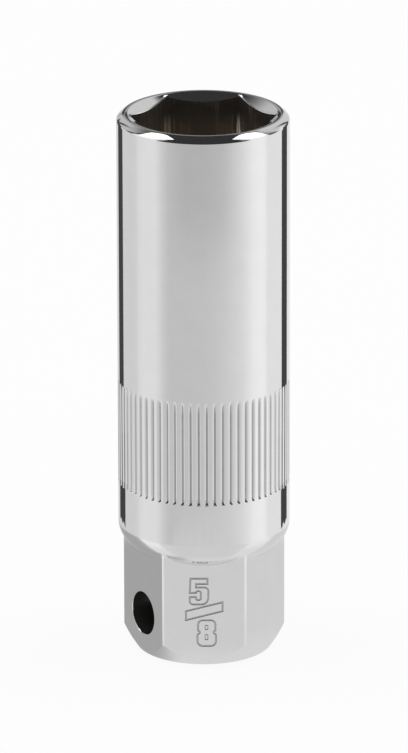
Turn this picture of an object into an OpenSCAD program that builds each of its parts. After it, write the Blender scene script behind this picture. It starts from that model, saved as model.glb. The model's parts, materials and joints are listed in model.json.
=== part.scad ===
// Spark plug socket for a 5/8 in plug hexagon and a 3/8 in square drive.
// It stands on its drive end: Z runs up the axis to the rim, and -Y points out of the detent hole.
// Every polygon has two flats square to Y, so the wrench flats line up with the plug hexagon.

/* [Barrel] */
// Length from the drive end to the rim
overall_len = 70; // [64:0.5:90]
// Outside diameter of the barrel
barrel_d = 21.6; // [21.2:0.1:26]
// Height at which the rounded shoulder leaves the barrel
shoulder_z = 16.35; // [15.5:0.05:20]
// Radius of the rounded shoulder
shoulder_r = 4.4; // [3.6:0.1:5]
// How far the centre of that radius lies above the shoulder's upper end
shoulder_lift = 0.7; // [0.4:0.05:0.9]
// Radius of the rim's outer edge
rim_r = 1; // [0.4:0.05:1.1]

/* [Grip band] */
// Number of grooves round the band
groove_count = 66; // [36:2:80]
// Height of the band's lower end above the drive end
band_z = 22; // [20:0.5:30]
// Length of the grooves
band_len = 13.5; // [6:0.5:20]
// Width of one groove at the surface
groove_w = 0.42; // [0.3:0.01:0.6]
// Depth of one groove
groove_depth = 0.2; // [0.1:0.01:0.3]
// Angle of the first groove from +X
groove_phase = 4.7; // [0:0.1:5.4]

/* [Plug end] */
// Across flats of the plug's hexagon, 5/8 in
plug_af = 15.875; // [15.5:0.005:16]
// Clearance of the socket's hexagon across its flats
plug_clearance = 0.125; // [0.05:0.005:0.25]
// Depth of the hexagon from the rim
plug_hex_depth = 20; // [14:0.5:24]
// How far the hexagon's corners stop short of sharp ones
plug_corner_trim = 0.1; // [0.05:0.01:0.3]
// How far the countersunk mouth reaches past the hexagon's corners
mouth_reach = 0.25; // [0.1:0.05:0.3]
// Slope of the countersunk mouth from the horizontal, in degrees
mouth_slope = 29; // [15:1:45]

/* [Drive end] */
// Across flats of the wrench hexagon, for an 18 mm wrench
wrench_af = 17.75; // [17:0.05:18.4]
// How far the wrench hexagon's corners are turned down
wrench_corner_trim = 0.12; // [0.05:0.01:0.3]
// Diameter of the flat that the socket stands on
foot_d = 16.9; // [15:0.1:16.9]
// Slope of the chamfer round the foot from the axis, in degrees
foot_slope = 33; // [25:1:45]
// Side of the square drive, 3/8 in
drive_af = 9.525; // [9.5:0.005:9.6]
// Clearance of the square hole across its flats
drive_clearance = 0.105; // [0.05:0.005:0.2]
// Depth of the square hole
drive_depth = 12; // [10.5:0.5:13]
// How far the square hole's corners stop short of sharp ones
drive_corner_trim = 0.2; // [0.1:0.05:0.5]
// Width of the lead-in round the square hole
drive_lead_in = 0.8; // [0.3:0.1:1]
// Thickness of the web above the square hole
web_h = 5; // [4:0.5:7]
// Diameter of the hole through the web
web_hole_d = 9.2; // [6:0.1:9.4]

/* [Detent] */
// Height of the drive's detent ball above the drive end
detent_z = 5.5; // [5:0.1:6.5]
// Diameter of the hole through one wall
detent_hole_d = 5.5; // [3.5:0.1:6]
// Width of the countersink round that hole
detent_break = 0.25; // [0.1:0.05:0.4]
// Radius of the ball that forms the recesses in the other three walls
dimple_ball_r = 2.4; // [2:0.1:3]
// Depth of those recesses
dimple_depth = 0.7; // [0.3:0.05:1]

/* [Rubber insert] */
// Diameter of the bore that holds the insert
grip_bore_d = 15.4; // [14.6:0.1:15.4]
// Radial gap between the insert and the bore
insert_gap = 0.1; // [0.05:0.01:0.25]
// Length of the insert
insert_len = 18; // [15:0.5:22]
// Radius of the bead that locks the insert in its groove
bead_r = 0.8; // [0.5:0.05:1]
// Height of the bead above the insert's foot
bead_z = 10; // [6:0.5:12]
// Diameter across the lips that grip the plug's insulator
lip_d = 9.8; // [9:0.1:10.4]
// Height of each lip's land
lip_h = 1.2; // [0.8:0.1:1.5]
// Depth of the hollows between the lips
lip_relief = 0.7; // [0.3:0.05:1]
// Spacing of the lips
lip_pitch = 4.5; // [3:0.1:4.5]
// Slope length of the insert's countersunk mouth
insert_mouth = 2.4; // [1:0.1:3]

/* [Hidden] */
$fn = 96;
// Room by which a cutter runs past the face that it cuts
over = 1;
// Share of the bead's radius that lies inside the insert's outside diameter
bead_sunk = 0.4;
lip_count = 3;
barrel_r = barrel_d / 2;
plug_hole_af = plug_af + plug_clearance;
drive_hole_af = drive_af + drive_clearance;
mouth_r = corner_reach(6, plug_hole_af) + mouth_reach;
foot_r = foot_d / 2;
floor_z = drive_depth + web_h;
ledge_z = overall_len - plug_hex_depth;
grip_bore_r = grip_bore_d / 2;
insert_r = grip_bore_r - insert_gap;
bead_centre_r = insert_r - bead_r * bead_sunk;
// A groove is part of a circle that has the groove's width and depth
groove_r = (pow(groove_w / 2, 2) + pow(groove_depth, 2)) / (2 * groove_depth);
dimple_centre_r = drive_hole_af / 2 + dimple_depth - dimple_ball_r;

// Distance from the centre of a regular polygon to its sharp corners
function corner_reach(sides, across_flats) = across_flats / 2 / cos(180 / sides);

// A regular polygon with round ends on its corners, and two flats square to Y
module trimmed_polygon(sides, across_flats, corner_trim) {
    reach = corner_reach(sides, across_flats);
    intersection() {
        rotate(sides % 4 == 0 ? 180 / sides : 0) circle(reach, $fn = sides);
        circle(reach - corner_trim);
    }
}

// The turned barrel: round at the rim, with a rounded shoulder over the drive end
module barrel() {
    rim_z = overall_len - rim_r;
    centre_r = barrel_r - sqrt(pow(shoulder_r, 2) - pow(shoulder_lift, 2));
    centre_z = shoulder_z + shoulder_lift;
    rotate_extrude() {
        translate([0, centre_z]) square([barrel_r, rim_z - centre_z]);
        translate([0, rim_z]) square([barrel_r - rim_r, rim_r]);
        translate([barrel_r - rim_r, rim_z]) circle(rim_r);
        translate([0, centre_z - shoulder_r]) square([centre_r, shoulder_r]);
        intersection() {
            translate([centre_r, centre_z]) circle(shoulder_r);
            translate([0, centre_z - shoulder_r]) square([barrel_r, 2 * shoulder_r]);
        }
    }
}

// The wrench hexagon, with a turned chamfer that leaves a round foot
module wrench_hexagon() {
    chamfer_h = barrel_r / tan(foot_slope);
    intersection() {
        linear_extrude(shoulder_z) trimmed_polygon(6, wrench_af, wrench_corner_trim);
        union() {
            cylinder(h = chamfer_h, r1 = foot_r, r2 = foot_r + barrel_r);
            translate([0, 0, chamfer_h]) cylinder(h = shoulder_z, r = foot_r + barrel_r);
        }
    }
}

module grip_band_grooves() {
    for (i = [0 : groove_count - 1])
        rotate(groove_phase + i * 360 / groove_count)
            translate([barrel_r + groove_r - groove_depth, 0, band_z])
                cylinder(h = band_len, r = groove_r, $fn = 24);
}

// The plug's hexagon and its countersunk mouth
module plug_hole() {
    translate([0, 0, ledge_z])
        linear_extrude(plug_hex_depth + over) trimmed_polygon(6, plug_hole_af, plug_corner_trim);
    mouth_depth = mouth_r * tan(mouth_slope);
    translate([0, 0, overall_len - mouth_depth]) cylinder(h = mouth_depth, r1 = 0, r2 = mouth_r);
}

// The round bore behind the hexagon, with the groove that takes the insert's bead
module grip_bore() {
    translate([0, 0, floor_z]) cylinder(h = ledge_z - floor_z + over, r = grip_bore_r);
    rotate_extrude() translate([bead_centre_r, floor_z + bead_z]) circle(bead_r + insert_gap);
}

// The square drive hole, its lead-in and the hole through the web above it
module drive_hole() {
    translate([0, 0, -over])
        linear_extrude(drive_depth + over) trimmed_polygon(4, drive_hole_af, drive_corner_trim);
    lead_in_r = drive_hole_af / 2 + drive_lead_in;
    cylinder(h = lead_in_r, r1 = lead_in_r, r2 = 0);
    cylinder(h = floor_z + over, d = web_hole_d);
}

// A hole through the -Y wall and ball recesses in the other three, for the drive's detent
module detent() {
    countersink_r = detent_hole_d / 2 + detent_break;
    translate([0, 0, detent_z]) {
        rotate([90, 0, 0]) cylinder(h = barrel_r, d = detent_hole_d);
        translate([0, -wrench_af / 2, 0])
            rotate([-90, 0, 0]) cylinder(h = countersink_r, r1 = countersink_r, r2 = 0);
        for (side = [0, 90, 180])
            rotate(side) translate([dimple_centre_r, 0, 0]) sphere(dimple_ball_r);
    }
}

module socket_body() {
    color("silver") difference() {
        union() {
            barrel();
            wrench_hexagon();
        }
        grip_band_grooves();
        plug_hole();
        grip_bore();
        drive_hole();
        detent();
    }
}

// The rubber sleeve that grips the plug's insulator
// It stands on the web, and its bead locks it in the bore
module rubber_insert() {
    lip_r = lip_d / 2;
    hollow_r = lip_r + lip_relief;
    color("dimgray") translate([0, 0, floor_z]) rotate_extrude() difference() {
        union() {
            translate([lip_r, 0]) square([insert_r - lip_r, insert_len]);
            translate([bead_centre_r, bead_z]) circle(bead_r);
        }
        for (i = [0 : lip_count - 1])
            translate([0, i * lip_pitch + lip_h]) square([hollow_r, lip_pitch - lip_h]);
        translate([lip_r, insert_len]) rotate(45) square(insert_mouth, center = true);
    }
}

socket_body();
rubber_insert();
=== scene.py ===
"""Looks of a spark plug socket: a chrome body with a rubber grip insert, on a white studio floor."""

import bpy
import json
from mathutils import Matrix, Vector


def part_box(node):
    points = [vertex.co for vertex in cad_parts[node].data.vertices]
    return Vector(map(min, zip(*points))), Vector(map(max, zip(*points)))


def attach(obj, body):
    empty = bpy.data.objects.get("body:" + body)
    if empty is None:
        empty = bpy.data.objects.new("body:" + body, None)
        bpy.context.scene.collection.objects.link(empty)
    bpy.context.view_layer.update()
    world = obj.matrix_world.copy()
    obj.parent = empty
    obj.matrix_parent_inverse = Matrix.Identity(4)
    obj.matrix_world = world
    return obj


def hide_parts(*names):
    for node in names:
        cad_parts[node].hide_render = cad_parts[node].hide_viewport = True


bl_info = {
    "name": "Spark Plug Socket",
    "version": (1, 0, 0),
    "blender": (4, 5, 0),
    "location": "View3D > Sidebar > Socket",
    "description": "Builds a chrome spark plug socket, its rubber insert and a studio stage",
    "category": "Add Mesh",
}

import json
import math

import bpy
from mathutils import Matrix, Vector, kdtree

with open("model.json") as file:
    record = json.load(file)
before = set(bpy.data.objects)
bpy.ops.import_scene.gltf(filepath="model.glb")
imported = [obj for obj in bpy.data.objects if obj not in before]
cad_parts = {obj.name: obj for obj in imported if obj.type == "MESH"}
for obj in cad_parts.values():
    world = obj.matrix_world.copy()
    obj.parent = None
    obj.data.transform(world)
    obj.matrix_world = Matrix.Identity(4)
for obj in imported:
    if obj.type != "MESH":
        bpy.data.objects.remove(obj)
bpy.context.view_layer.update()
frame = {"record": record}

MM = 0.001
BODY_LOW, BODY_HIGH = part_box("socket_body")
INSERT_LOW, INSERT_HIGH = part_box("rubber_insert")
MOUNTS = {mount["name"]: mount for mount in frame["record"]["mounts"]}
DETENT = MOUNTS["detent_hole"]
GRIP = MOUNTS["plug_grip"]
RUBBER = next(m for m in frame["record"]["materials"] if m["slot"] == "rubber")
# The flat that carries the size mark faces the camera, this far round from -Y
VIEW_TURN = math.radians(60)
# How far a cutter runs past the face that it cuts
OVER = 0.5 * MM
# Angle from the horizontal at which the round shoulder eases into the barrel, in radians
SHOULDER_EASE = 0.25
# Distances from an edge to the row of vertices that keeps the face beside it flat
LEAD_IN_ROW = 0.3 * MM
FOOT_ROW = 0.5 * MM
CHAMFER_ROW = 0.2 * MM
CREASE_ROW = 0.45 * MM
RIM_ROW = 0.1 * MM
# Heights above the grip band's foot and depths below its head, in millimetres, with the shares there
# of the groove's depth and of the lands' rounding
BAND_FOOT = ((-0.08, 0, 0), (0, 0, 0), (0.06, 0.75, 0), (0.16, 1.12, 0.1), (0.6, 1.12, 0.6), (0.9, 1, 1))
BAND_HEAD = ((1.6, 1, 1), (0.6, 0.85, 0.8), (0.25, 0.6, 0.4), (0.08, 0.3, 0.1), (0, 0, 0), (-0.08, 0, 0))
# Outlines of the bold numerals: corners as shares of the width and height, and a rounding in millimetres
FIVE = (
    (0.04, 1, 0), (0.96, 1, 0), (0.96, 0.74, 0), (0.4, 0.74, 0), (0.4, 0.68, 0), (0.84, 0.68, 0.3),
    (1, 0.6, 0.5), (1, 0, 1.05), (0, 0, 1.05), (0, 0.34, 0), (0.4, 0.34, 0), (0.4, 0.23, 0.1),
    (0.54, 0.23, 0.1), (0.54, 0.48, 0.1), (0.4, 0.48, 0.1), (0.4, 0.42, 0), (0, 0.42, 0),
)
EIGHT = (
    (0.03, 1, 0.75), (0.97, 1, 0.75), (0.97, 0.58, 0.45), (0.86, 0.53, 0.1), (1, 0.47, 0.45),
    (1, 0, 0.95), (0, 0, 0.95), (0, 0.47, 0.45), (0.14, 0.53, 0.1), (0.03, 0.58, 0.45),
)
EIGHT_EYES = (
    ((0.4, 0.8, 0.14), (0.58, 0.8, 0.2), (0.58, 0.61, 0.2), (0.4, 0.61, 0.14)),
    ((0.4, 0.46, 0.14), (0.58, 0.46, 0.2), (0.58, 0.24, 0.2), (0.4, 0.24, 0.14)),
)
# Distances from the axis at which the mirrored floor changes: at the foot, round the wrench hexagon,
# from the hexagon to the barrel, at the flags' near ends, under the grip band and in front of the rim
FOOT_REACH = (11 * MM, 17 * MM)
HEXAGON_REACH = (20 * MM, 30 * MM)
BARREL_REACH = (44 * MM, 52 * MM)
FLAG_REACH = 52.5 * MM
BAND_REACH = 90 * MM
RIM_REACH = (160 * MM, 212 * MM)


def length(name, description, default):
    """A length property, in metres"""
    return bpy.props.FloatProperty(
        name=name, description=description, default=default, unit="LENGTH", subtype="DISTANCE", precision=5
    )


def angle(name, description, degrees):
    """An angle property, given in degrees"""
    return bpy.props.FloatProperty(
        name=name, description=description, default=math.radians(degrees), unit="ROTATION", subtype="ANGLE"
    )


def colour(name, description, default):
    """A colour property"""
    return bpy.props.FloatVectorProperty(
        name=name, description=description, default=default, size=3, subtype="COLOR", min=0, max=1
    )


def count(name, description, default):
    """A whole number property"""
    return bpy.props.IntProperty(name=name, description=description, default=default, min=1)


def level(name, description, default):
    """A plain number property"""
    return bpy.props.FloatProperty(name=name, description=description, default=default, min=0)


class SOCKET_PG_body(bpy.types.PropertyGroup):
    """Sizes of the socket body"""

    barrel_radius: length("Barrel radius", "Outside radius of the barrel", BODY_HIGH.x)
    overall: length("Length", "From the drive end to the rim", BODY_HIGH.z)
    shoulder_z: length("Shoulder height", "Where the round shoulder leaves the barrel", 16.35 * MM)
    shoulder_radius: length("Shoulder radius", "Radius of the round shoulder", 4.4 * MM)
    shoulder_lift: length("Shoulder lift", "Height of its centre above the shoulder's top", 0.7 * MM)
    flat_top: length("Flat top", "Height of the crease above the middle of each flat", 13.37 * MM)
    rim_width: length("Rim width", "Radial width of the rim's outer edge", 0.85 * MM)
    rim_slope: angle("Rim slope", "Slope of the rim's outer edge at its foot, from the axis", 45)
    rim_crown: angle("Rim crown", "How far that slope leans over up to its head", 13)
    rim_radius: length("Rim radius", "Radius in which that slope runs into the barrel", 0.45 * MM)
    rim_round: length("Rim top", "Radius of the rim's top", 0.5 * MM)
    groove_count: count("Grooves", "Grooves round the grip band", 66)
    groove_phase: angle("Groove phase", "Angle of the first groove from X", 4.7)
    groove_width: length("Groove width", "Width of one groove", 0.46 * MM)
    groove_depth: length("Groove depth", "Depth of one groove", 0.18 * MM)
    land_crown: length("Land crown", "How much the lands between the grooves are rounded", 0.03 * MM)
    band_z: length("Band height", "Lower end of the grip band", 22 * MM)
    band_length: length("Band length", "Length of the grooves", 13.5 * MM)
    plug_flats: length("Plug hexagon", "Across flats of the plug's hexagon hole", 16 * MM)
    plug_round: length("Plug hexagon corners", "Radius in the hexagon hole's corners", 0.5 * MM)
    plug_depth: length("Plug hexagon depth", "Depth of the hexagon hole", 20 * MM)
    mouth_reach: length("Mouth reach", "How far the mouth reaches past sharp corners", 0.25 * MM)
    mouth_slope: angle("Mouth slope", "Slope of the countersunk mouth", 29)
    mouth_roll: length("Mouth roll", "Radius between the rim's top and the mouth", 0.77 * MM)
    mouth_round: length("Mouth edge", "Radius between the mouth and the hexagon hole", 0.35 * MM)
    bore_radius: length("Bore radius", "Radius of the bore that holds the insert", 7.7 * MM)
    wrench_flats: length("Wrench hexagon", "Across flats of the wrench hexagon", 17.75 * MM)
    wrench_round: length("Wrench hexagon corners", "Radius of the wrench hexagon's corners", 0.76 * MM)
    foot_radius: length("Foot radius", "Radius at which the foot's chamfer would end", 8.45 * MM)
    foot_slope: angle("Foot slope", "Slope of the chamfer round the foot, from the axis", 33)
    foot_round: length("Foot edge", "Radius of the foot's edge", 0.53 * MM)
    drive_flats: length("Drive square", "Across flats of the square drive hole", 9.63 * MM)
    drive_round: length("Drive square corners", "Radius in the square hole's corners", 0.48 * MM)
    drive_depth: length("Drive depth", "Depth of the square drive hole", 12 * MM)
    drive_lead_in: length("Drive lead-in", "Width of the lead-in round the square hole", 0.8 * MM)
    web_radius: length("Web hole radius", "Radius of the hole through the web", 4.6 * MM)
    dimple_radius: length("Recess ball radius", "Radius of the ball recesses", 2.4 * MM)
    dimple_depth: length("Recess depth", "Depth of the ball recesses", 0.7 * MM)
    hole_break: length("Hole edge", "Width of the rounded edge of the detent hole", 0.1 * MM)
    edge_round: length("Edge radius", "Radius of the plated outer edges", 0.25 * MM)
    fine_round: length("Fine edge radius", "Radius of the cut inner edges", 0.1 * MM)
    facets: count("Facets", "Columns of faces for each groove", 12)


class SOCKET_PG_mark(bpy.types.PropertyGroup):
    """Sizes of the engraved size mark"""

    height: length("Numeral height", "Height of one numeral", 3.69 * MM)
    width: length("Numeral width", "Width of one numeral", 2.58 * MM)
    line: length("Line", "Width of the engraved outline", 0.25 * MM)
    depth: length("Depth", "Depth of the engraving", 0.1 * MM)
    upper_x: length("Upper numeral across", "Middle of the upper numeral, to the right", -0.65 * MM)
    upper_z: length("Upper numeral height", "Foot of the upper numeral", 8.14 * MM)
    lower_x: length("Lower numeral across", "Middle of the lower numeral, to the right", 0.31 * MM)
    lower_z: length("Lower numeral height", "Foot of the lower numeral", 2.58 * MM)
    bar_z: length("Bar height", "Middle of the fraction's bar", 7.36 * MM)
    bar_width: length("Bar width", "Width of the fraction's bar", 4.85 * MM)
    bar_rise: length("Bar rise", "Rise of the fraction's bar over its width", 1.25 * MM)
    bar_thick: length("Bar thickness", "Upright thickness of the fraction's bar", 1.45 * MM)


class SOCKET_PG_insert(bpy.types.PropertyGroup):
    """Sizes of the rubber insert"""

    radius: length("Radius", "Outside radius of the sleeve", 7.6 * MM)
    lip_radius: length("Lip radius", "Radius of the lips", GRIP["dims"]["r_mm"] * MM)
    lip_height: length("Lip height", "Height of one lip's land", 1.2 * MM)
    lip_pitch: length("Lip pitch", "Spacing of the lips", 4.5 * MM)
    relief: length("Relief", "Depth of the hollows between the lips", 0.7 * MM)
    mouth: length("Mouth", "Width of the countersunk mouth", 1.697 * MM)
    bead_radius: length("Bead radius", "Radius of the locking bead", 0.8 * MM)
    bead_z: length("Bead height", "Height of the bead above the sleeve's foot", 10 * MM)
    edge_round: length("Edge radius", "Radius of the moulded edges", 0.2 * MM)


class SOCKET_PG_finish(bpy.types.PropertyGroup):
    """Colours of the finishes"""

    chrome: colour("Chrome", "Polished plate", (0.87, 0.87, 0.875))
    chrome_dim: colour("Chrome haze", "Plate where the polish is thinner", (0.82, 0.82, 0.83))
    # Painted shade: the plate's colour down in the grooves
    groove_shade: colour("Groove shade", "Plate down in the grooves", (0.5, 0.495, 0.485))
    bare: colour("Bare steel", "Broached steel inside", (0.038, 0.031, 0.025))
    # Real oily streaks, and also the painted light deeper down the hole
    bronze_and_depth_light: colour("Bronze streaks and depth light", "Oil-brown streaks on the broached steel", (0.19, 0.145, 0.1))
    # Painted highlight: bright streaks along the hexagon hole's corners
    painted_glint: colour("Corner glints", "Bright streaks along the hexagon hole's corners", (1.0, 0.86, 0.7))
    drive_end_dark: colour("Drive end dark", "Darker steel of the drive end's holes", (0.03, 0.03, 0.027))
    etch: colour("Engraving", "Steel in the engraved lines", (0.3, 0.3, 0.31))
    rubber: colour("Rubber", "Moulded rubber", tuple(RUBBER["base_color"]))
    rubber_dust: colour("Rubber bloom", "Pale bloom on the rubber", (0.05, 0.049, 0.047))


class SOCKET_PG_stage(bpy.types.PropertyGroup):
    """Camera and light"""

    turn: angle("Turn", "How far round the camera stands from -Y", 60)
    rise: angle("Rise", "How high the camera stands", 18.69)
    roll: angle("Roll", "How far the camera is tipped", -0.134)
    distance: length("Distance", "From the camera to its aim", 1.043)
    aim: length("Aim height", "Height of the camera's aim", 35.44 * MM)
    aside: length("Aim aside", "How far the camera's aim lies to the right of the axis", 0.04 * MM)
    lens: bpy.props.FloatProperty(name="Lens", description="Focal length in millimetres", default=397.5)
    left: level("Left card", "Brightness of the card on the left", 0.83)
    right: level("Right card", "Brightness of the card on the right", 0.985)
    front: level("Front", "Brightness of the floor in front", 0.62)
    shade: level("Shade", "Brightness of the floor close by on the left", 0.42)
    flag: level("Flags", "Brightness of the two dark flags", 0.06)
    gloom: level("Gloom", "Brightness of the unlit studio", 0.035)
    glow: level("Glow", "Even light on matte surfaces", 0.8)
    softbox: level("Softboxes", "Radiance of the two softboxes", 1.6)
    softbox_aside: length("Softbox aside", "How far a softbox stands to one side", 0.636)
    softbox_behind: length("Softbox behind", "How far a softbox stands behind the axis", 0.095)
    softbox_height: length("Softbox height", "Height of a softbox", 0.67)
    softbox_width: length("Softbox width", "Size of a softbox from side to side", 0.768)
    softbox_depth: length("Softbox depth", "Size of a softbox from front to back", 0.325)
    floor: colour("Floor", "Colour of the floor", (0.9, 0.9, 0.9))


class Shader:
    """A node tree that starts empty; node() adds any node and returns one of its outputs."""

    def __init__(self, tree):
        self.tree = tree
        tree.nodes.clear()

    def node(self, kind, settings=None, sockets=None, out=0):
        made = self.tree.nodes.new(kind)
        for name, value in (settings or {}).items():
            if name == "stops":
                self.fill_ramp(made.color_ramp, value)
            else:
                setattr(made, name, value)
        for key, value in (sockets or {}).items():
            if isinstance(value, Value):
                self.tree.links.new(value.socket, made.inputs[key])
            elif made.inputs[key].type == "RGBA":
                made.inputs[key].default_value = (*value, 1)
            else:
                made.inputs[key].default_value = value
        return Value(self, made.outputs[out]) if made.outputs else None

    def math(self, operation, *terms):
        return self.node("ShaderNodeMath", {"operation": operation}, dict(enumerate(terms)))

    def fill_ramp(self, ramp, stops):
        while len(ramp.elements) < len(stops):
            ramp.elements.new(1)
        for element, (place, grey) in zip(ramp.elements, stops):
            element.position = place
            element.color = (grey, grey, grey, 1)

    def blend(self, share, low, high):
        """A colour between low and high"""
        return self.node("ShaderNodeMix", {"data_type": "RGBA"}, {0: share, 6: low, 7: high}, 2)

    def noise(self, at, scale, detail=2.0):
        return self.node("ShaderNodeTexNoise", None, {"Vector": at, "Scale": scale, "Detail": detail})

    def bump(self, height, strength, distance):
        sockets = {"Height": height, "Strength": strength, "Distance": distance}
        return self.node("ShaderNodeBump", None, sockets)

    def step(self, value, low, high):
        """0 below low and 1 above high, smooth between them"""
        sockets = {0: value, 1: low, 2: high, 3: 0.0, 4: 1.0}
        return self.node("ShaderNodeMapRange", {"interpolation_type": "SMOOTHSTEP"}, sockets)


class Value:
    """One socket; arithmetic on it adds Math nodes."""

    def __init__(self, shader, socket):
        self.shader = shader
        self.socket = socket

    def __getitem__(self, name):
        return Value(self.shader, self.socket.node.outputs[name])

    def __add__(self, other):
        return self.shader.math("ADD", self, other)

    def __sub__(self, other):
        return self.shader.math("SUBTRACT", self, other)

    def __rsub__(self, other):
        return self.shader.math("SUBTRACT", other, self)

    def __mul__(self, other):
        return self.shader.math("MULTIPLY", self, other)

    def __truediv__(self, other):
        return self.shader.math("DIVIDE", self, other)

    def __rtruediv__(self, other):
        return self.shader.math("DIVIDE", other, self)

    def __pow__(self, other):
        return self.shader.math("POWER", self, other)

    def __gt__(self, other):
        return self.shader.math("GREATER_THAN", self, other)

    def __lt__(self, other):
        return self.shader.math("LESS_THAN", self, other)

    __radd__ = __add__
    __rmul__ = __mul__


def between(value, low, high):
    """1 where a value lies between two others, and 0 elsewhere"""
    return (value > low) * (value < high)


def grey(shade):
    """A neutral colour"""
    return (shade, shade, shade)


def new_material(name):
    """A material and its empty shader"""
    material = bpy.data.materials.new(name)
    material.use_nodes = True
    return material, Shader(material.node_tree)


def finish_material(shader, sockets):
    """Ends a material's shader with a Principled BSDF"""
    surface = shader.node("ShaderNodeBsdfPrincipled", None, sockets)
    shader.node("ShaderNodeOutputMaterial", None, {"Surface": surface})


def chrome_material(finish, body):
    """Polished plate, rougher and with painted shade down in the grooves"""
    material, shader = new_material("chrome plate")
    at = shader.node("ShaderNodeTexCoord", out="Object")
    place = shader.node("ShaderNodeSeparateXYZ", None, {0: at})
    radius = (place["X"] * place["X"] + place["Y"] * place["Y"]) ** 0.5
    in_band = between(place["Z"], body.band_z, body.band_z + body.band_length)
    groove_floor = body.barrel_radius - 0.19 * MM
    groove_edge = body.barrel_radius - 0.05 * MM
    # Mask of the grooves, where the plate is rougher and painted darker as painted shade
    groove = in_band * (1 - shader.step(radius, groove_floor, groove_edge))
    haze = shader.noise(at, 450.0, 3.0)
    grain = shader.noise(at, 5000.0)
    speck = shader.step(shader.noise(at, 1500.0, 3.0), 0.6, 0.72)
    plate = shader.blend(haze, tuple(finish.chrome), tuple(finish.chrome_dim))
    finish_material(shader, {
        "Base Color": shader.blend(groove * (0.75 + 0.25 * speck), plate, tuple(finish.groove_shade)),
        "Metallic": 1.0,
        "Roughness": 0.03 + 0.03 * haze + 0.15 * groove,
        "Normal": shader.bump(grain, 0.015, 0.02 * MM),
    })
    return material


def steel_material(finish):
    """Broached steel, dark and oily, with streaks along the axis, painted lighter deeper down, painted
    glints at the hexagon's corners, and darker towards the drive end
    """
    material, shader = new_material("broached steel")
    at = shader.node("ShaderNodeTexCoord", out="Object")
    place = shader.node("ShaderNodeSeparateXYZ", None, {0: at})
    drawn = shader.node("ShaderNodeVectorMath", {"operation": "MULTIPLY"}, {0: at, 1: (1, 1, 0.03)})
    streak = shader.noise(drawn, 2600.0, 4.0)
    stain = shader.noise(at, 260.0, 3.0)
    depth = BODY_HIGH.z - place["Z"]
    # Painted light: the steel is painted lighter and browner deeper down the hole, on top of its real
    # streaks and stains
    depth_light = shader.step(depth, 1.5 * MM, 5.5 * MM)
    share = shader.step(streak * 0.4 + stain * 0.6, 0.45, 0.7) * 0.5 + 0.5 * depth_light
    # The steel turns darker below the insert, down to the drive end
    low = 1 - shader.step(place["Z"], INSERT_LOW.z, INSERT_HIGH.z)
    turn = shader.math("ARCTAN2", place["Y"], place["X"])
    corner = shader.step(shader.math("COSINE", turn * 6), 0.8, 0.97)
    # The painted glints are strongest at the corner at the back on the right, as the camera sees it
    glint_side = 0.25 + 0.75 * shader.step(shader.math("COSINE", turn - 2 * math.pi / 3), 0.5, 0.9)
    # Painted highlight: bright streaks painted along the hexagon hole's corners, a little way down
    painted_glint = corner * glint_side * shader.step(depth, 2.2 * MM, 5 * MM) * shader.step(streak, 0.46, 0.53)
    oiled_and_depth_lit = shader.blend(share, tuple(finish.bare), tuple(finish.bronze_and_depth_light))
    steel = shader.blend(painted_glint, oiled_and_depth_lit, tuple(finish.painted_glint))
    finish_material(shader, {
        "Base Color": shader.blend(low, steel, tuple(finish.drive_end_dark)),
        "Metallic": 0.3 - 0.2 * painted_glint,
        "Roughness": 0.5 - 0.15 * share,
        "Normal": shader.bump(streak, 0.3, 0.03 * MM),
    })
    return material


def etch_material(finish):
    """Matte grey of the engraved lines"""
    material, shader = new_material("engraved line")
    at = shader.node("ShaderNodeTexCoord", out="Object")
    grain = shader.noise(at, 7000.0, 3.0)
    finish_material(shader, {
        "Base Color": shader.blend(grain, tuple(finish.etch), tuple(finish.chrome_dim)),
        "Metallic": 1.0,
        "Roughness": 0.3 + 0.2 * grain,
        "Normal": shader.bump(grain, 0.2, 0.02 * MM),
    })
    return material


def rubber_material(finish):
    """Moulded black rubber with a faint bloom and a fine grain"""
    material, shader = new_material("moulded rubber")
    at = shader.node("ShaderNodeTexCoord", out="Object")
    bloom = shader.step(shader.noise(at, 380.0, 4.0), 0.4, 0.75)
    grain = shader.noise(at, 4200.0, 3.0)
    finish_material(shader, {
        "Base Color": shader.blend(bloom, tuple(finish.rubber), tuple(finish.rubber_dust)),
        "Roughness": 0.62 + 0.2 * bloom + 0.08 * grain,
        "Normal": shader.bump(grain, 0.3, 0.05 * MM),
    })
    return material


def deselect_all():
    if bpy.context.object and bpy.context.object.mode != "OBJECT":
        bpy.ops.object.mode_set(mode="OBJECT")
    bpy.ops.object.select_all(action="DESELECT")


def make_active(piece):
    deselect_all()
    piece.select_set(True)
    bpy.context.view_layer.objects.active = piece


def join(pieces):
    """Joins pieces into the first one"""
    make_active(pieces[0])
    for piece in pieces[1:]:
        piece.select_set(True)
    if len(pieces) > 1:
        bpy.ops.object.join()
    return pieces[0]


def apply_modifier(piece, kind, **settings):
    """Adds one modifier and applies it"""
    make_active(piece)
    modifier = piece.modifiers.new(kind.title(), kind)
    for name, value in settings.items():
        setattr(modifier, name, value)
    bpy.ops.object.modifier_apply(modifier=modifier.name)


def carve(piece, cutter):
    """Cuts a cutter out of a piece, and gives the cut faces the cutter's material"""
    apply_modifier(
        piece, "BOOLEAN", operation="DIFFERENCE", object=cutter, solver="EXACT", material_mode="TRANSFER",
    )
    bpy.data.objects.remove(cutter)


def polygon_reach(sides, flats, corner_round, turn):
    """Distance from the axis to the wall of a round-cornered polygon with two flats square to Y"""
    half = math.pi / sides
    first = half if sides % 4 == 0 else 0.0
    off = (turn - first + half) % (2 * half) - half
    inset = (flats / 2 - corner_round) / math.cos(half)
    limit = math.atan2(corner_round * math.sin(half), inset + corner_round * math.cos(half))
    if abs(off) < limit:
        return inset * math.cos(off) + math.sqrt(corner_round ** 2 - (inset * math.sin(off)) ** 2)
    return flats / 2 / math.cos(half - abs(off))


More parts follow.
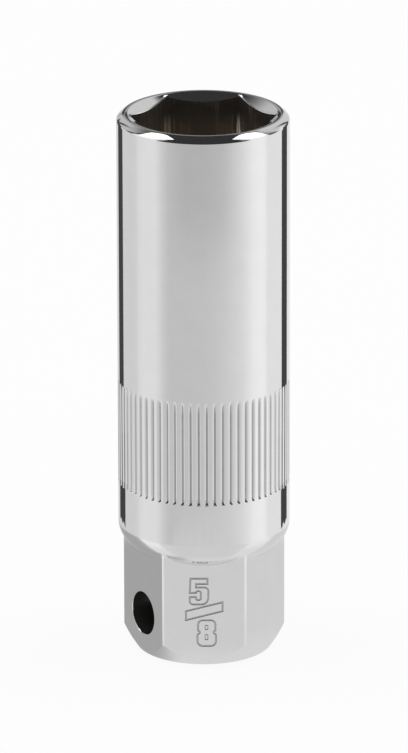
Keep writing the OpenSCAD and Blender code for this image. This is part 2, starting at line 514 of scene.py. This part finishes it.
def rounded(corners, room=0.9):
    """Points of a closed outline, given as (radius, height, rounding, steps) corners

    A rounding takes no more than the share room of a side, and shares it with its neighbour's.
    """
    places = [Vector(corner[:2]) for corner in corners]
    sides = [places[(i + 1) % len(places)] - place for i, place in enumerate(places)]
    bends = [sides[i - 1].angle(side) for i, side in enumerate(sides)]
    cuts = [max(math.tan(bend / 2), 0.05) * corner[2] for bend, corner in zip(bends, corners)]
    points = []
    for i, corner in enumerate(corners):
        steps = corner[3]
        if not steps:
            points.append(places[i])
            continue
        cut = cuts[i]
        for side, other in ((sides[i - 1], cuts[i - 1]), (sides[i], cuts[(i + 1) % len(cuts)])):
            cut = min(cut, room * side.length, 0.9 * side.length * cuts[i] / (cuts[i] + other))
        before = -sides[i - 1].normalized()
        after = sides[i].normalized()
        bend = bends[i]
        centre = places[i] + (before + after).normalized() * cut / math.tan(bend / 2) / math.cos(bend / 2)
        start = places[i] + before * cut - centre
        end = places[i] + after * cut - centre
        for k in range(steps + 1):
            share = k / steps
            swung = start * math.sin((1 - share) * bend) + end * math.sin(share * bend)
            points.append(centre + swung / math.sin(bend))
    return points


def lathe(name, outline, columns):
    """Spins a closed outline of (radius, height) points round Z"""
    deselect_all()
    bpy.ops.mesh.primitive_circle_add(vertices=len(outline))
    piece = bpy.context.object
    piece.name = name
    for vertex, (radius, height) in zip(piece.data.vertices, outline):
        vertex.co = (radius, 0, height)
    bpy.ops.object.mode_set(mode="EDIT")
    bpy.ops.mesh.select_all(action="SELECT")
    bpy.ops.mesh.spin(steps=columns, angle=2 * math.pi, center=(0, 0, 0), axis=(0, 0, 1))
    bpy.ops.mesh.select_all(action="SELECT")
    bpy.ops.mesh.remove_doubles(threshold=1e-7)
    bpy.ops.mesh.normals_make_consistent(inside=False)
    bpy.ops.object.mode_set(mode="OBJECT")
    return piece


def press(piece, outlines, turns):
    """Moves each column of a lathed piece to its own angle and outline, and returns each vertex's row"""
    rows = kdtree.KDTree(len(outlines[0]))
    for row, (radius, height) in enumerate(outlines[0]):
        rows.insert((radius, 0, height), row)
    rows.balance()
    pitch = 2 * math.pi / len(outlines)
    found = []
    for vertex in piece.data.vertices:
        x, y, z = vertex.co
        row = rows.find((math.hypot(x, y), 0, z))[1]
        column = round(math.atan2(y, x) / pitch) % len(outlines)
        radius, height = outlines[column][row]
        turn = turns[column]
        vertex.co = (radius * math.cos(turn), radius * math.sin(turn), height)
        found.append(row)
    return found


def column_turns(body):
    """Angles of the columns, closer together in the grooves"""
    pitch = 2 * math.pi / body.groove_count
    turns = []
    for groove in range(body.groove_count):
        for k in range(body.facets):
            share = 2 * k / body.facets
            off = share ** 1.4 / 2 if share <= 1 else 1 - (2 - share) ** 1.4 / 2
            turns.append(body.groove_phase + (groove + off) * pitch)
    return turns


def groove_cut(body, turn):
    """Depth of the grip band's grooves and of the lands' rounding at an angle"""
    pitch = 2 * math.pi / body.groove_count
    off = (turn - body.groove_phase + pitch / 2) % pitch - pitch / 2
    across = abs(off) * body.barrel_radius * 2 / body.groove_width
    groove = body.groove_depth * (1 + math.cos(math.pi * across)) / 2 if across < 1 else 0.0
    return groove, body.land_crown * (1 + math.cos(2 * math.pi * off / pitch)) / 2


def arc(centre, radius, start, end, steps):
    """Corners along part of a circle, from one angle to another"""
    swings = [start + (end - start) * k / steps for k in range(steps + 1)]
    return [(centre[0] + radius * math.cos(s), centre[1] + radius * math.sin(s), 0, 0) for s in swings]


def drive_end_corners(body, turn, lead_in):
    """Corners of the outline at an angle, from the foot over the wrench hexagon to the barrel"""
    wrench = polygon_reach(6, body.wrench_flats, body.wrench_round, turn)
    chamfer_z = (wrench - body.foot_radius) / math.tan(body.foot_slope)
    bow = body.shoulder_radius
    bow_r = body.barrel_radius - math.sqrt(bow ** 2 - body.shoulder_lift ** 2)
    bow_z = body.shoulder_z + body.shoulder_lift
    crease_z = bow_z - math.sqrt(bow ** 2 - (wrench - bow_r) ** 2)
    # The crease gets softer towards the hexagon's corners, and the bow starts clear of its rounding
    soft = min(max((crease_z - body.flat_top) / MM, 0.0), 1.0)
    low = math.asin((bow_z - crease_z) / bow) - 0.012 - 0.15 * soft
    ease = SHOULDER_EASE
    tight = (body.barrel_radius - bow_r - bow * math.cos(ease)) / (1 - math.cos(ease))
    tight_z = bow_z - (bow - tight) * math.sin(ease)
    return [
        (lead_in, 0.0, body.fine_round, 2),
        (lead_in + LEAD_IN_ROW, 0.0, 0, 0),
        (body.foot_radius - FOOT_ROW, 0.0, 0, 0),
        (body.foot_radius, 0.0, body.foot_round, 5),
        (wrench, chamfer_z, body.edge_round, 4),
        (wrench, chamfer_z + CHAMFER_ROW, 0, 0),
        (wrench, crease_z - CREASE_ROW, 0, 0),
        (wrench, crease_z, (0.1 + 0.9 * soft) * MM, 4),
        *arc((bow_r, bow_z), bow, -low, -ease, 9),
        *arc((body.barrel_radius - tight, tight_z), tight, -ease, 0, 6)[1:],
    ]


def barrel_corners(body, turn):
    """Corners of the outline at an angle, from the grip band's foot up the rim's slope"""
    barrel = body.barrel_radius
    groove, crown = groove_cut(body, turn)
    band_top = body.band_z + body.band_length
    rows = [(body.band_z + height * MM, cut, land) for height, cut, land in BAND_FOOT]
    rows += [(band_top - depth * MM, cut, land) for depth, cut, land in BAND_HEAD]
    rim = body.rim_radius
    slope = body.rim_slope
    head = slope + body.rim_crown
    bow = (body.rim_width - rim * (1 - math.cos(slope))) / (math.cos(slope) - math.cos(head))
    bow_r = barrel - body.rim_width - bow * math.cos(head)
    bow_z = body.overall - bow * math.sin(head)
    rim_z = bow_z + (bow - rim) * math.sin(slope)
    return [
        *((barrel - groove * cut - crown * land, height, 0, 0) for height, cut, land in rows),
        (barrel, rim_z - RIM_ROW, 0, 0),
        *arc((barrel - rim, rim_z), rim, 0, slope, 6),
        *arc((bow_r, bow_z), bow, slope, head, 4)[1:-1],
    ]


def mouth_corners(body, plug):
    """Corners of the outline from the rim's top to the edge of the plug's hexagon hole"""
    top = body.overall
    mouth = body.plug_flats / 2 / math.cos(math.pi / 6) + body.mouth_reach
    roll = body.mouth_roll * math.tan(body.mouth_slope / 2)
    room = 0.9 * (mouth - plug) / math.cos(body.mouth_slope) - roll
    edge = min(body.mouth_round, room / math.tan(math.pi / 4 - body.mouth_slope / 2))
    return [
        (body.barrel_radius - body.rim_width, top, body.rim_round, 6),
        (mouth, top, body.mouth_roll, 6),
        (plug, top - (mouth - plug) * math.tan(body.mouth_slope), edge, 6),
    ]


def inside_corners(body, bead, plug, drive, lead_in):
    """Corners of the outline down the inside, from the plug's hexagon to the square hole's lead-in"""
    fine = body.fine_round
    ledge = body.overall - body.plug_depth
    floor = INSERT_LOW.z
    centre, around = bead
    reach = math.acos((body.bore_radius - centre.x) / around)
    return [
        (plug, ledge, fine, 2),
        (body.bore_radius, ledge, fine, 2),
        *arc(centre, around, reach, -reach, 8),
        (body.bore_radius, floor, fine, 2),
        (body.web_radius, floor, fine, 2),
        (body.web_radius, body.drive_depth, fine, 2),
        (drive, body.drive_depth, fine, 2),
        (drive, lead_in - drive, fine, 2),
    ]


def body_corners(body, bead, turn):
    """Corners of the body's outline at an angle: up the outside, then down the inside"""
    plug = polygon_reach(6, body.plug_flats, body.plug_round, turn)
    drive = polygon_reach(4, body.drive_flats, body.drive_round, turn)
    lead_in = max(body.drive_flats / 2 + body.drive_lead_in, drive + 0.05 * MM)
    outside = drive_end_corners(body, turn, lead_in)
    outside += barrel_corners(body, turn) + mouth_corners(body, plug)
    return outside, inside_corners(body, bead, plug, drive, lead_in)


def bead_groove(insert):
    """Centre and radius of the groove that takes the insert's bead"""
    centre = Vector((INSERT_HIGH.x - insert.bead_radius, INSERT_LOW.z + insert.bead_z))
    return centre, insert.bead_radius + 0.1 * MM


def detent_cutter(body):
    """The hole through the -Y wall, flared at its outer end, and caps of balls for the other three walls"""
    radius = DETENT["dims"]["r_mm"] * MM
    height = DETENT["pos_m"][2]
    wall = body.wrench_flats / 2
    inner = body.drive_flats / 2 - 2 * OVER
    flare = body.hole_break
    deselect_all()
    bpy.ops.mesh.primitive_cylinder_add(
        vertices=96, radius=radius, depth=wall - flare - inner,
        location=(0, -(wall - flare + inner) / 2, height), rotation=(math.pi / 2, 0, 0),
    )
    pin = bpy.context.object
    bpy.ops.object.transform_apply(location=True, rotation=True, scale=True)
    bpy.ops.object.mode_set(mode="EDIT")
    bpy.ops.mesh.select_all(action="DESELECT")
    bpy.ops.object.mode_set(mode="OBJECT")
    for face in pin.data.polygons:
        face.select = face.center.y < -(wall - flare) + 1e-6
    bpy.ops.object.mode_set(mode="EDIT")
    was_radius = radius
    was_y = wall - flare
    for k in range(1, 7):
        swung = k * math.pi / 12
        now_radius = radius + flare * (1 - math.cos(swung))
        now_y = wall - flare + flare * math.sin(swung)
        if k == 6:
            now_y += OVER
        bpy.ops.mesh.extrude_region_move(TRANSFORM_OT_translate={"value": (0, was_y - now_y, 0)})
        share = now_radius / was_radius
        bpy.ops.transform.resize(value=(share, 1, share), center_override=(0, -now_y, height))
        was_radius = now_radius
        was_y = now_y
    bpy.ops.object.mode_set(mode="OBJECT")
    cutters = [pin]
    for side in (0, 1, 2):
        out = body.drive_flats / 2 + body.dimple_depth - body.dimple_radius
        deselect_all()
        bpy.ops.mesh.primitive_uv_sphere_add(segments=48, ring_count=24, radius=body.dimple_radius)
        ball = bpy.context.object
        bpy.ops.object.mode_set(mode="EDIT")
        bpy.ops.mesh.select_all(action="SELECT")
        bpy.ops.mesh.bisect(
            plane_co=(body.drive_flats / 2 - out - OVER, 0, 0), plane_no=(1, 0, 0),
            clear_inner=True, use_fill=True,
        )
        bpy.ops.object.mode_set(mode="OBJECT")
        ball.location = (out * math.cos(side * math.pi / 2), out * math.sin(side * math.pi / 2), height)
        ball.rotation_euler = (0, 0, side * math.pi / 2)
        make_active(ball)
        bpy.ops.object.transform_apply(location=True, rotation=True, scale=True)
        cutters.append(ball)
    return join(cutters)


def engraved_ring(corners, line, depth):
    """A closed line along the inside of an outline, as a solid ring through the XY plane"""
    outline = rounded(corners, 0.45)
    deselect_all()
    bpy.ops.mesh.primitive_circle_add(vertices=len(outline), fill_type="NGON")
    ring = bpy.context.object
    for vertex, (x, y) in zip(ring.data.vertices, outline):
        vertex.co = (x, y, -depth)
    bpy.ops.object.mode_set(mode="EDIT")
    bpy.ops.mesh.select_all(action="SELECT")
    bpy.ops.mesh.inset(thickness=line, use_even_offset=True)
    bpy.ops.mesh.delete(type="FACE")
    bpy.ops.mesh.select_all(action="SELECT")
    bpy.ops.mesh.extrude_region_move(TRANSFORM_OT_translate={"value": (0, 0, 2 * depth)})
    bpy.ops.mesh.select_all(action="SELECT")
    bpy.ops.mesh.normals_make_consistent(inside=False)
    bpy.ops.object.mode_set(mode="OBJECT")
    return ring


def numeral_ring(corners, mark, middle, foot, line):
    """The outline of a numeral, drawn in shares of its width and height"""
    drawn = []
    for across, up, rounding in corners:
        place = (middle + (across - 0.5) * mark.width, foot + up * mark.height)
        drawn.append((*place, rounding * MM, 6 if rounding else 0))
    return engraved_ring(drawn, line, mark.depth)


def bar_ring(mark):
    """The outline of the fraction's bar"""
    half = mark.bar_width / 2
    low = mark.bar_z - mark.bar_rise / 2
    high = mark.bar_z + mark.bar_rise / 2
    thick = mark.bar_thick / 2
    corners = [(-half, low - thick), (half, high - thick), (half, high + thick), (-half, low + thick)]
    return engraved_ring([(*corner, 0, 0) for corner in corners], mark.line, mark.depth)


def mark_cutter(mark, body):
    """The size fraction, placed on the flat that faces the camera"""
    upper = numeral_ring(FIVE, mark, mark.upper_x, mark.upper_z, mark.line)
    lower = numeral_ring(EIGHT, mark, mark.lower_x, mark.lower_z, mark.line)
    eyes = [numeral_ring(eye, mark, mark.lower_x, mark.lower_z, mark.line / 2) for eye in EIGHT_EYES]
    rings = join([bar_ring(mark), upper, lower, *eyes])
    bpy.ops.object.transform_apply(location=True, rotation=True, scale=True)
    out = Vector((math.sin(VIEW_TURN), -math.cos(VIEW_TURN), 0))
    right = Vector((math.cos(VIEW_TURN), math.sin(VIEW_TURN), 0))
    place = Matrix((right, (0, 0, 1), out)).transposed().to_4x4()
    place.translation = out * body.wrench_flats / 2
    rings.matrix_world = place
    bpy.ops.object.transform_apply(location=True, rotation=True, scale=True)
    return rings


def smooth_normals(piece):
    """Smooth shading with sharp edges kept, and flat faces kept flat"""
    make_active(piece)
    bpy.ops.object.shade_smooth_by_angle(angle=math.radians(38))
    apply_modifier(piece, "WEIGHTED_NORMAL", keep_sharp=True, weight=60)


class SOCKET_OT_body(bpy.types.Operator):
    """Builds the chrome body with its grooves, holes and engraved size"""

    bl_idname = "socket.body"
    bl_label = "Socket Body"

    def execute(self, context):
        body = context.scene.socket_body
        finish = context.scene.socket_finish
        bead = bead_groove(context.scene.socket_insert)
        turns = column_turns(body)
        outlines = []
        for turn in turns:
            outside, inside = body_corners(body, bead, turn)
            outlines.append(rounded(outside + inside))
        inside_from = sum(corner[3] + 1 for corner in outside)
        piece = lathe("chrome_body", outlines[0], len(turns))
        rows = press(piece, outlines, turns)
        chrome = chrome_material(finish, body)
        steel = steel_material(finish)
        etch = etch_material(finish)
        for material in (chrome, steel, etch):
            piece.data.materials.append(material)
        for face in piece.data.polygons:
            if max(rows[v] for v in face.vertices) >= inside_from:
                face.material_index = 1
        cutter = detent_cutter(body)
        cutter.data.materials.append(steel)
        carve(piece, cutter)
        plated = body.hole_break - body.wrench_flats / 2
        for face in piece.data.polygons:
            if face.material_index == 1 and face.center.y < plated:
                face.material_index = 0
        cutter = mark_cutter(context.scene.socket_mark, body)
        cutter.data.materials.clear()
        cutter.data.materials.append(etch)
        carve(piece, cutter)
        smooth_normals(piece)
        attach(piece, "root")
        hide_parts("socket_body")
        return {"FINISHED"}


class SOCKET_OT_insert(bpy.types.Operator):
    """Builds the rubber insert with its locking bead and gripping lips"""

    bl_idname = "socket.insert"
    bl_label = "Rubber Insert"

    def execute(self, context):
        insert = context.scene.socket_insert
        edge = insert.edge_round
        foot = INSERT_LOW.z
        top = INSERT_HIGH.z
        lip = insert.lip_radius
        hollow = lip + insert.relief
        centre = bead_groove(insert)[0]
        reach = math.acos((insert.radius - centre.x) / insert.bead_radius)
        corners = [
            (lip, foot, edge, 3),
            (insert.radius, foot, edge, 3),
            *arc(centre, insert.bead_radius, -reach, reach, 12),
            (insert.radius, top, edge, 3),
            (lip + insert.mouth, top, edge, 3),
            (lip, top - insert.mouth, edge, 3),
        ]
        for k in (2, 1, 0):
            low = foot + k * insert.lip_pitch + insert.lip_height
            high = foot + (k + 1) * insert.lip_pitch
            hollow_corners = ((lip, high), (hollow, high), (hollow, low), (lip, low))
            corners += [(*corner, edge, 3) for corner in hollow_corners]
        piece = lathe("grip_insert", rounded(corners), 192)
        piece.data.materials.append(rubber_material(context.scene.socket_finish))
        smooth_normals(piece)
        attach(piece, "root")
        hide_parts("rubber_insert")
        return {"FINISHED"}


def surround(shader, stops, right, front):
    """Brightness of the studio round the socket, by the angle from the camera in degrees"""
    turn = shader.math("ARCTAN2", right, front) / (2 * math.pi) + 0.5
    return shader.node("ShaderNodeValToRGB", {"stops": [(0.5 + t / 360, v) for t, v in stops]}, {0: turn})


def far_stops(stage):
    """The floor under the studio's cards, by the angle at which the barrel mirrors it"""
    left = stage.left
    right = stage.right
    return [
        (-180, 0.78), (-168, 0.7), (-112, 0.7), (-102, 0.72), (-96, 0.8), (-88, left), (-68, left),
        (-63, 0.785), (-57, 0.7), (-51, 0.64), (-46, 0.61), (-20, 0.61), (0, stage.front), (13, 0.64),
        (29, 0.68), (40, 0.725), (52, 0.78), (58, 0.83), (64, 0.88), (70, 0.945), (84, right), (90, 0.965),
        (95, 0.87), (99, 0.86), (168, 0.86), (180, 0.78),
    ]


def near_stops(stage):
    """The floor close to the foot, by the angle at which the wrench hexagon mirrors it"""
    dark = stage.shade
    return [
        (-180, 0.74), (-150, dark), (-117, dark), (-105, 0.5), (-97, 0.93), (-70, 0.93), (-58, 0.74),
        (-30, 0.7), (30, 0.7), (58, 0.74), (70, 0.92), (103, 0.92), (112, 0.76), (118, 0.71), (180, 0.74),
    ]


def wall_stops(stage):
    """The unlit studio, with a card on each side and a pale wall on each side behind the socket"""
    dark = stage.gloom
    return [
        (-180, 0.05), (-166, 0.05), (-162, 0.56), (-135, 0.54), (-121, 0.52), (-117, 0.1), (-108, 0.1),
        (-102, 0.95), (-66, 0.95), (-60, dark), (60, dark), (66, 0.95), (95, 0.95), (99, 0.12), (110, 0.12),
        (125, 0.6), (140, 0.66), (166, 0.66), (172, 0.05), (180, 0.05),
    ]


def view_axes(shader, stage, at):
    """How far a place or direction lies to the right of the axis, in front of it and above it"""
    place = shader.node("ShaderNodeSeparateXYZ", None, {0: at})
    right = place["X"] * math.cos(stage.turn) + place["Y"] * math.sin(stage.turn)
    front = place["X"] * math.sin(stage.turn) - place["Y"] * math.cos(stage.turn)
    return right, front, place["Z"]


def floor_material(stage, body):
    """White to the camera with a soft shadow; shiny surfaces see the studio's light and dark in it"""
    material, shader = new_material("studio floor")
    at = shader.node("ShaderNodeTexCoord", out="Object")
    right, front, _ = view_axes(shader, stage, at)
    reach = (right * right + front * front) ** 0.5
    # The angle of the light that the barrel mirrors from here to the camera
    half = shader.math("ARCTAN2", right, front) / 2
    lean = shader.math("ARCSINE", shader.math("SINE", half) * body.barrel_radius / reach)
    swung = half * 2 + lean
    far = surround(shader, far_stops(stage), shader.math("SINE", swung), shader.math("COSINE", swung))
    ahead = 1 - shader.step(shader.math("ABSOLUTE", swung), math.radians(20), math.radians(60))
    far = far * (1 - 0.16 * ahead * shader.step(reach, *RIM_REACH))
    # Near the foot the angle is taken from the two front corners of the wrench hexagon
    corner = Vector((body.wrench_flats / 2 * math.tan(math.pi / 6), body.wrench_flats / 2))
    off = shader.math("ABSOLUTE", right) - corner.x
    aside = shader.math("MAXIMUM", off, 0.0) * shader.math("SIGN", right)
    near = surround(shader, near_stops(stage), aside, front - corner.y + (off < 0.0))
    bright = shader.step(near, 0.72, 1.0) * (near - 0.7)
    near = near - 0.6 * bright * (1 - shader.step(reach, *HEXAGON_REACH))
    foot = shader.blend(shader.step(right / reach, -0.8, -0.3), grey(stage.shade), grey(0.75))
    near = shader.blend(shader.step(reach, *FOOT_REACH), foot, near)
    near_end, far_start = BARREL_REACH
    tone = shader.blend(shader.step(reach, near_end, far_start + ahead * 28 * MM), near, far)
    # Two dark flags, wider where the barrel's lower end mirrors them
    degrees = swung * (180 / math.pi)
    close = reach < BAND_REACH
    flags = between(degrees, -155, -135.7 + 3.7 * close) + between(degrees, 129 - 2 * close, 149)
    tone = shader.blend(flags * (reach > FLAG_REACH), tone, grey(stage.flag))
    path = shader.node("ShaderNodeLightPath")
    paper = shader.noise(at, 40.0, 3.0)
    plain = shader.node("ShaderNodeBsdfDiffuse", None, {
        "Color": shader.blend(paper, tuple(stage.floor), tuple(0.97 * c for c in stage.floor)),
    })
    white = shader.node("ShaderNodeEmission", None, {"Color": (1, 1, 1), "Strength": 1.0})
    seen = shader.node("ShaderNodeMixShader", None, {0: path["Is Camera Ray"] * 0.9, 1: plain, 2: white})
    card = shader.node("ShaderNodeEmission", None, {"Color": tone, "Strength": 1.0})
    both = shader.node("ShaderNodeMixShader", None, {0: path["Is Glossy Ray"], 1: seen, 2: card})
    below = shader.node("ShaderNodeNewGeometry", out="Backfacing")
    clear = shader.node("ShaderNodeBsdfTransparent")
    surface = shader.node("ShaderNodeMixShader", None, {0: below, 1: both, 2: clear})
    shader.node("ShaderNodeOutputMaterial", None, {"Surface": surface})
    return material


def studio_world(stage):
    """White to the camera, an even glow for matte surfaces, and a dark studio for shiny ones"""
    world = bpy.data.worlds.new("studio")
    world.use_nodes = True
    shader = Shader(world.node_tree)
    at = shader.node("ShaderNodeTexCoord", out="Generated")
    right, front, up = view_axes(shader, stage, at)
    walls = surround(shader, wall_stops(stage), right, front)
    path = shader.node("ShaderNodeLightPath")
    # A faint strip and a pale skirt on the dark wall straight behind
    strip = shader.step(up, 0.289, 0.292) * (1 - shader.step(up, 0.5, 0.6))
    strip = strip * shader.step(front, -0.75, -0.85)
    skirt = (1 - shader.step(up, 0.07, 0.09)) * (right < 0)
    skirt = skirt + (1 - shader.step(up, 0.14, 0.16)) * (right > 0)
    walls = walls + (0.3 * strip + 0.45 * skirt * (front < -0.9)) * (walls < 0.2)
    # The lower part of the right wall is brighter
    turn = shader.math("ARCTAN2", right, front) * (180 / math.pi)
    walls = walls + 0.24 * between(turn, 114, 139) * (1 - shader.step(up, 0.36, 0.44))
    # The upper ends of the two dark flags, and a slanted boom above each
    flags = between(turn, -157, -136) + between(turn, 128, 152)
    flags = flags * (1 - shader.step(up, 0.16, 0.21))
    boom = shader.math("ABSOLUTE", right) - 0.435 - 0.314 * up
    booms = (1 - shader.step(shader.math("ABSOLUTE", boom), 0.015, 0.035)) * (front < 0) * (up > 0.18)
    booms = booms * (1 - shader.step(up, 0.32, 0.62))
    walls = shader.blend(shader.math("MAXIMUM", flags, booms), walls, grey(stage.flag))
    # It is dark overhead, and lower down on the left behind the socket
    dusk = shader.step(up, 0.45, 0.86) * (right < 0) * (front < -0.25)
    above = shader.math("MAXIMUM", shader.step(up, 0.72, 0.82), dusk)
    room = shader.blend(above, walls, grey(stage.gloom))
    glow = shader.blend(path["Is Glossy Ray"], grey(stage.glow), room)
    tint = shader.blend(path["Is Camera Ray"], glow, (1, 1, 1))
    surface = shader.node("ShaderNodeBackground", None, {"Color": tint, "Strength": 1.0})
    shader.node("ShaderNodeOutputWorld", None, {"Surface": surface})
    return world


class SOCKET_OT_stage(bpy.types.Operator):
    """Sets the floor, the lights, the world and the camera"""

    bl_idname = "socket.stage"
    bl_label = "Studio Stage"

    def execute(self, context):
        scene = context.scene
        stage = scene.socket_stage
        towards = Vector((math.sin(stage.turn), -math.cos(stage.turn), 0))
        right = Vector((math.cos(stage.turn), math.sin(stage.turn), 0))
        deselect_all()
        bpy.ops.mesh.primitive_plane_add(size=4)
        floor = context.object
        floor.name = "studio_floor"
        floor.data.materials.append(floor_material(stage, scene.socket_body))
        for name, side in (("softbox_left", -1), ("softbox_right", 1)):
            place = right * side * stage.softbox_aside - towards * stage.softbox_behind
            place.z = stage.softbox_height
            deselect_all()
            bpy.ops.object.light_add(type="AREA", location=place)
            lamp = context.object
            lamp.name = name
            lamp.data.shape = "RECTANGLE"
            lamp.data.size = stage.softbox_width
            lamp.data.size_y = stage.softbox_depth
            lamp.data.energy = stage.softbox * math.pi * lamp.data.size * lamp.data.size_y
            lamp.rotation_euler = (0, 0, stage.turn)
        scene.world = studio_world(stage)
        aim = right * stage.aside + Vector((0, 0, stage.aim))
        sight = towards * math.cos(stage.rise) + Vector((0, 0, math.sin(stage.rise)))
        deselect_all()
        bpy.ops.object.camera_add(location=aim + sight * stage.distance)
        camera = context.object
        upright = sight.to_track_quat("Z", "Y").to_matrix()
        camera.rotation_euler = (upright @ Matrix.Rotation(stage.roll, 3, "Z")).to_euler()
        camera.data.lens = stage.lens
        camera.data.clip_start = 0.01
        scene.camera = camera
        scene.view_settings.view_transform = "Standard"
        return {"FINISHED"}


class SOCKET_PT_panel(bpy.types.Panel):
    """Lists the steps and their sizes in the sidebar"""

    bl_idname = "SOCKET_PT_panel"
    bl_label = "Spark Plug Socket"
    bl_space_type = "VIEW_3D"
    bl_region_type = "UI"
    bl_category = "Socket"

    def draw(self, context):
        for step in (SOCKET_OT_body, SOCKET_OT_insert, SOCKET_OT_stage):
            self.layout.operator(step.bl_idname)
        for name, group in GROUPS.items():
            box = self.layout.box()
            box.label(text=group.__doc__)
            for field in group.__annotations__:
                box.prop(getattr(context.scene, name), field)


GROUPS = {
    "socket_body": SOCKET_PG_body,
    "socket_mark": SOCKET_PG_mark,
    "socket_insert": SOCKET_PG_insert,
    "socket_finish": SOCKET_PG_finish,
    "socket_stage": SOCKET_PG_stage,
}
CLASSES = (*GROUPS.values(), SOCKET_OT_body, SOCKET_OT_insert, SOCKET_OT_stage, SOCKET_PT_panel)


def register():
    for item in CLASSES:
        bpy.utils.register_class(item)
    for name, group in GROUPS.items():
        setattr(bpy.types.Scene, name, bpy.props.PointerProperty(type=group))


def unregister():
    for name in GROUPS:
        delattr(bpy.types.Scene, name)
    for item in reversed(CLASSES):
        bpy.utils.unregister_class(item)


def main():
    register()
    bpy.ops.socket.body()
    bpy.ops.socket.insert()
    bpy.ops.socket.stage()


if __name__ == "__main__":
    main()
